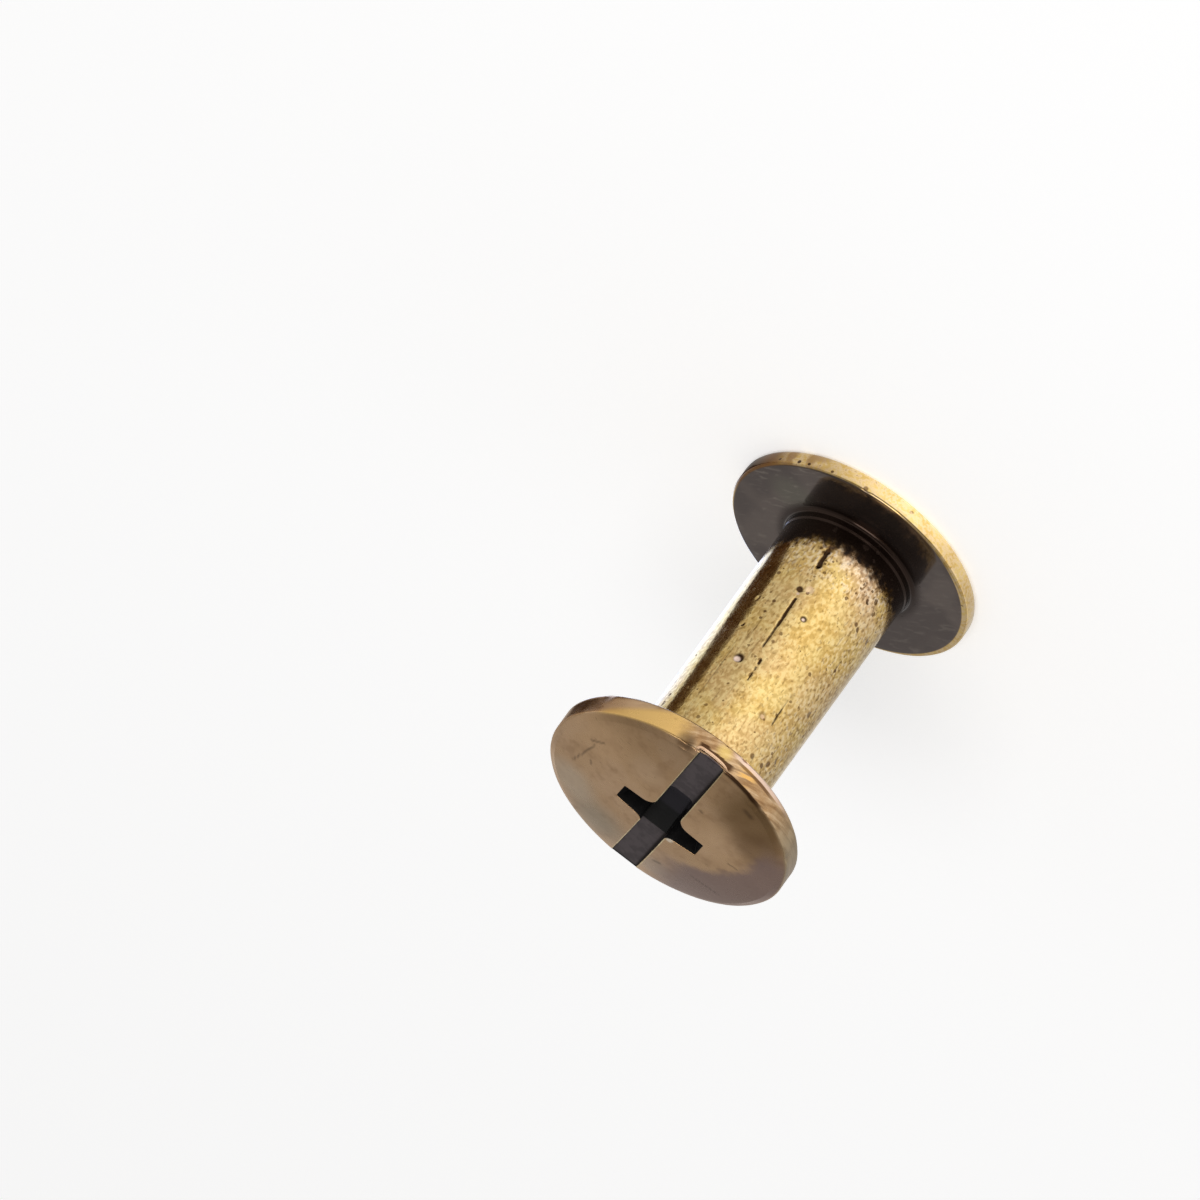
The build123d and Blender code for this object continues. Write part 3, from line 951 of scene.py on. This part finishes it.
faces += [((n + 1) % count, n, point) for n in range(count)]
faces.append(tuple(range((len(layers) - 1) * count, len(layers) * count)))
recess_cutter = mesh_piece("recess_cutter", vertices, faces, recess_black, screw_brass)
lip_faces = range(4 * count, (len(layers) - 1) * count)     # the first four bands are the wall
for polygon in recess_cutter.data.polygons:
    polygon.material_index = 1 if polygon.index in lip_faces else 0
print("recess cutter has", len(faces), "faces")

# %% Saw the slot and punch the recess
def cut(piece, cutter):
    """Takes the cutter's shape out of the piece and removes the cutter."""
    tool = piece.modifiers.new("cut", "BOOLEAN")
    tool.operation = "DIFFERENCE"
    tool.solver = "EXACT"
    tool.material_mode = "TRANSFER"
    tool.object = cutter
    bpy.context.view_layer.update()
    worked = piece.evaluated_get(bpy.context.evaluated_depsgraph_get())
    mesh = bpy.data.meshes.new_from_object(worked)
    piece.modifiers.clear()
    piece.data = mesh
    bpy.data.objects.remove(cutter)
    print(piece.name, "now has", len(mesh.polygons), "faces and", len(mesh.materials), "materials")


def weld(piece, nearest):
    """Merges points closer together than this, in mm, so that a cut leaves no sliver faces."""
    shape = bmesh.new()
    shape.from_mesh(piece.data)
    before = len(shape.faces)
    bmesh.ops.remove_doubles(shape, verts=shape.verts, dist=nearest * MM)
    bmesh.ops.dissolve_degenerate(shape, edges=shape.edges, dist=nearest * MM)
    print(piece.name, "lost", before - len(shape.faces), "sliver faces")
    shape.to_mesh(piece.data)
    shape.free()


cut(blank, slot_cutter)
cut(blank, recess_cutter)
weld(blank, 0.001)

# %% [markdown]
# ## Wear of the screw
# The head is the part that hands and tools touch. Its rim is worn into shallow waves, with
# nicks where the saw left the slot and where the head met other metal. The face only has
# fine scratches that hold dirt, so they are colour and no hollows.

# %% Wear the screw's rim and scratch its face
# each nick in the rim: angle, height, half width, depth
nicks = [(-7.5, 13.30, 0.30, 0.045), (-2.5, 13.24, 0.38, 0.045), (2.5, 13.25, 0.38, 0.04),
         (7.0, 13.30, 0.28, 0.03), (2.0, 12.62, 0.16, 0.05), (11.5, 12.60, 0.20, 0.06),
         (24.0, 13.5, 0.22, 0.04), (31.0, 13.45, 0.20, 0.05), (-13.0, 13.45, 0.25, 0.06),
         (43.0, 12.62, 0.2, 0.03), (62.0, 13.5, 0.25, 0.03), (-58.0, 12.60, 0.3, 0.03)]
# each scratch on the face: two ends, half width
face_scratches = [((-3.55, 1.15), (-3.8, -0.8), 0.05), ((-3.75, 1.2), (-3.35, 1.65), 0.07),
                  ((-3.3, 0.15), (-3.2, -0.05), 0.06), ((0.85, 2.35), (0.95, 2.3), 0.08),
                  ((2.1, 3.85), (2.4, 3.7), 0.13), ((2.9, 0.35), (3.3, 0.3), 0.05),
                  ((2.2, -2.1), (3.4, -2.3), 0.05), ((0.85, -2.9), (1.05, -2.8), 0.12)]
worn_from, worn_fully = 4.6, 0.15       # wear starts here, and is at its full depth this much on


def screw_marks(angle, r, place):
    """Depth of the rim's wear and blackness of the face's scratches at a point of the screw."""
    if place.z < seat_level + 0.01:
        return 0.0, 0.0
    if r > worn_from:
        here = unrolled(angle, place.z, head_radius)
        depth = waves(place, 1.1, 0.035)
        for nick_angle, nick_z, half_width, nick_depth in nicks:
            away = (here - unrolled(nick_angle, nick_z, head_radius)).length
            depth += nick_depth * falls_off(away, half_width)
        return depth * min(1, (r - worn_from) / worn_fully), 0.0
    return 0.0, max(falls_off(off_line(place.xy, Vector(start), Vector(end)), half_width)
                    for start, end, half_width in face_scratches)


press_in(blank, screw_marks)
smooth(blank, 32)
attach(blank, "screw")
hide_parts("screw")

# %% [markdown]
# ## Burr at the slot's end
# The saw leaves the rim through the side that faces the camera, and it pushed up a low burr
# along the slot's end. Tumbling rubbed it flat and bright. It is made as a flattened bead: an
# oval section is carried along a short path on the rim, and it tapers at both ends.

# %% Sweep the burr
# each point of the path: angle, height, distance from the axis, half width
burr_path = np.array([
    (-7.5, 13.53, 4.87, 0.01), (-7.9, 13.49, 4.925, 0.04), (-8.1, 13.42, 4.96, 0.06),
    (-7.8, 13.34, 4.97, 0.065), (-7.0, 13.285, 4.972, 0.065), (-5.0, 13.275, 4.972, 0.06),
    (-2.0, 13.28, 4.972, 0.065), (1.5, 13.29, 4.972, 0.06), (4.5, 13.31, 4.972, 0.055),
    (6.5, 13.35, 4.968, 0.045), (7.8, 13.40, 4.955, 0.01)])
burr_thickness, burr_steps, burr_sides = 0.022, 60, 12
full_from = 0.05                # where the burr is narrower than this, it is thinner too
steps, stops = np.linspace(0, 1, burr_steps), np.linspace(0, 1, len(burr_path))
walk = np.array([np.interp(steps, stops, column) for column in burr_path.T]).T
for _ in range(3):              # three passes take the corners off the path
    walk[1:-1] = (walk[:-2] + walk[1:-1] * 2 + walk[2:]) / 4
flat = np.column_stack([np.radians(walk[:, 0]) * walk[:, 2], walk[:, 1]])
ahead = np.gradient(flat, axis=0)
ahead /= np.linalg.norm(ahead, axis=1)[:, None]
burr_rings = []
for (s, z), (ahead_s, ahead_z), (_, _, r, half_width) in zip(flat, ahead, walk):
    ring = []
    for k in range(burr_sides):
        turn = 2 * math.pi * k / burr_sides
        sideways, proud = half_width * math.cos(turn), burr_thickness * math.sin(turn)
        angle = (s - ahead_z * sideways) / r
        out = r + proud * min(1, half_width / full_from)
        ring.append((out * math.sin(angle), out * math.cos(angle), z + ahead_s * sideways))
    burr_rings.append(ring)
burr = lofted("slot_burr", burr_rings, burr_brass)
smooth(burr, 60)
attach(burr, "screw")

# %% [markdown]
# ## Floor
# The floor is plain and nearly white. It glows a little by itself, so that the shadow on it
# stays as soft as on a light table.

# %% Lay the floor
floor_white, tree, shader = new_finish("matt_white_paper", {
    "Base Color": "#f4f4f4", "Roughness": 0.9, "Specular IOR Level": 0.0,
    "Emission Color": "#ffffff", "Emission Strength": 0.49})
half = 600.0
floor = mesh_piece("floor", [(-half, -half, 0), (half, -half, 0), (half, half, 0),
                             (-half, half, 0)], [(0, 1, 2, 3)], floor_white)
floor.location.z = -0.02 * MM       # just clear of the cards and of the barrel's head
print("floor is", 2 * half, "mm square")

# %% [markdown]
# ## Light
# Polished metal shows its surroundings rather than its own colour. The post and the rims
# stand upright, so from above they mirror what lies on the floor round them. A studio lays
# cards there. Here three round cards lie on each other, bright in front and greyer towards
# the sides. The screw's rim and the top of the post mirror the large one, the rest of the
# post the middle one, and the barrel's rim and the post's foot the small one. The middle one
# is bright and bluish at the back left, for the thin light line along the post's edge. A
# black card on the left gives the post its dark side. Only reflections see the cards, so the
# floor itself looks plain. Lamps alone would leave the brass with small spots of light.

# %% Helpers that lay a card
def card(name, outline, level, tint, strength):
    """A flat card that only shows in reflections. Its corners are in mm."""
    made, tree, shader = new_finish(name, {
        "Base Color": "#000000", "Specular IOR Level": 0.0,
        "Emission Color": tint, "Emission Strength": strength})
    piece = mesh_piece(name, [(x, y, 0) for x, y in outline], [range(len(outline))], made)
    piece.location.z = level * MM
    piece.visible_camera = piece.visible_diffuse = piece.visible_shadow = False
    print(name, "is", round(max(x for x, _ in outline) - min(x for x, _ in outline), 1), "mm wide")
    return tree, shader


def disc_card(name, radius, level_here, levels_by_bearing):
    """A round card. Each level is a bearing from the front in degrees, a brightness and a tint."""
    angles = np.linspace(0, 2 * math.pi, 97)[:-1]
    circle = [(radius * math.cos(a), radius * math.sin(a)) for a in angles]
    tree, shader = card(name, circle, level_here, "#ffffff", 1.0)
    where, reach, split = surface_in_mm(tree)
    bearing = add(tree, "Math", {"operation": "ARCTAN2", 0: split["X"], 1: split["Y"]})
    share = add(tree, "Math", {"operation": "MULTIPLY_ADD", 0: bearing, 1: 0.5 / math.pi, 2: 0.5})
    levels = add(tree, "ValToRGB", {0: share})
    ramp = levels.node.color_ramp
    ramp.elements.remove(ramp.elements[1])
    for bearing_here, level, tint in levels_by_bearing:
        colour = [c * level for c in linear(tint)[:3]] + [1]
        ramp.elements.new(bearing_here / 360 + 0.5).color = colour
    ramp.elements.remove(ramp.elements[0])
    settle(tree, shader, {"Emission Color": levels})


# %% Lay the cards round the fastener
white, cool, warm = "#ffffff", "#c6d8ff", "#e8d8c8"
disc_card("pale_card", 200, -0.012, [
    (-180, 0.6, warm), (-104, 0.60, warm), (-70, 0.68, white), (-35, 0.8, white),
    (-12, 1.15, white), (10, 1.32, white), (40, 1.12, white), (90, 0.72, white),
    (130, 0.5, white), (180, 0.6, warm)])
disc_card("middle_card", 21, -0.0105, [
    (-180, 2.2, cool), (-160, 2.6, cool), (-124, 2.4, cool), (-104, 0.70, white),
    (-70, 0.68, white), (-35, 0.8, white), (-12, 1.15, white), (10, 1.32, white),
    (40, 1.12, white), (90, 0.72, white), (130, 0.5, white), (152, 0.75, white),
    (168, 0.95, white), (180, 2.2, cool)])
disc_card("near_card", 6.3, -0.009, [
    (-180, 0.8, white), (-110, 0.3, white), (-90, 0.22, white), (-78, 0.42, white),
    (-67, 0.62, white), (-34, 0.8, white), (-12, 1.3, white), (0, 1.55, white),
    (14, 1.5, white), (34, 1.05, white), (67, 0.65, white), (110, 0.6, white),
    (180, 0.8, white)])
black_outline = [
    (-5.5, 0.1), (-6.3, 0.0), (-7.3, 0.6), (-9.2, 1.15), (-12.8, 1.6), (-20.1, 1.8), (-24, 1.8),
    (-24.5, -5), (-27.5, -6.5), (-26, -18), (-15, -26), (-11, -21), (-18.5, -14.5),
    (-21.5, -9), (-18.8, -7.6), (-9.6, -6.3), (-5.9, -3.6), (-5.0, -2.6)]
card("black_card", black_outline, -0.006, "#ffc39b", 0.065)

# %% [markdown]
# The sky above is a pale room. It is brightest at the horizon and dim overhead, so the domed
# face is darker than the post. In front of the fastener, about 10 to 45 degrees above the
# horizon, the room is dark brown. The post mirrors that onto the black inner face of the
# barrel's head, which stays deep black beside the post. A large softbox lights the floor.

# %% Light the room
room = bpy.data.worlds.new("pale_room")
bpy.context.scene.world = room
room.use_nodes = True
tree = room.node_tree
background = tree.nodes["Background"]
direction = add(tree, "TexCoord", {}, "Generated")
split = add(tree, "SeparateXYZ", {0: direction}).node.outputs
glow = add(tree, "ValToRGB", {0: split["Z"]})
ramp = glow.node.color_ramp
ramp.elements[0].position, ramp.elements[0].color = 0.0, (0.9, 0.9, 0.9, 1)
ramp.elements[1].position, ramp.elements[1].color = 1.0, (0.35, 0.35, 0.35, 1)
for position, level in ((0.12, 0.5), (0.26, 0.38), (0.42, 0.5), (0.62, 0.5), (0.75, 0.33),
                        (0.88, 0.24)):
    ramp.elements.new(position).color = (level, level, level, 1)
dark_part = mask(tree, (split["Y"], 0.45, 0.75), (split["Z"], 0.15, 0.25),
                 (split["Z"], 0.78, 0.65), 0.9)
settle(tree, background, {"Color": paint(tree, glow, ("#54483c", dark_part))})

light = bpy.data.lights.new("softbox_front", "AREA")
light.size, light.energy = 200 * MM, 0.38
lamp_place = Vector((-40, 220, 330))
softbox = bpy.data.objects.new("softbox_front", light)
bpy.context.scene.collection.objects.link(softbox)
softbox.location = lamp_place * MM
softbox.rotation_euler = lamp_place.to_track_quat("Z", "Y").to_euler()      # it faces the origin
bpy.context.scene.view_settings.view_transform = "Standard"
print("softbox", round(lamp_place.length), "mm away, room with", len(ramp.elements), "levels")
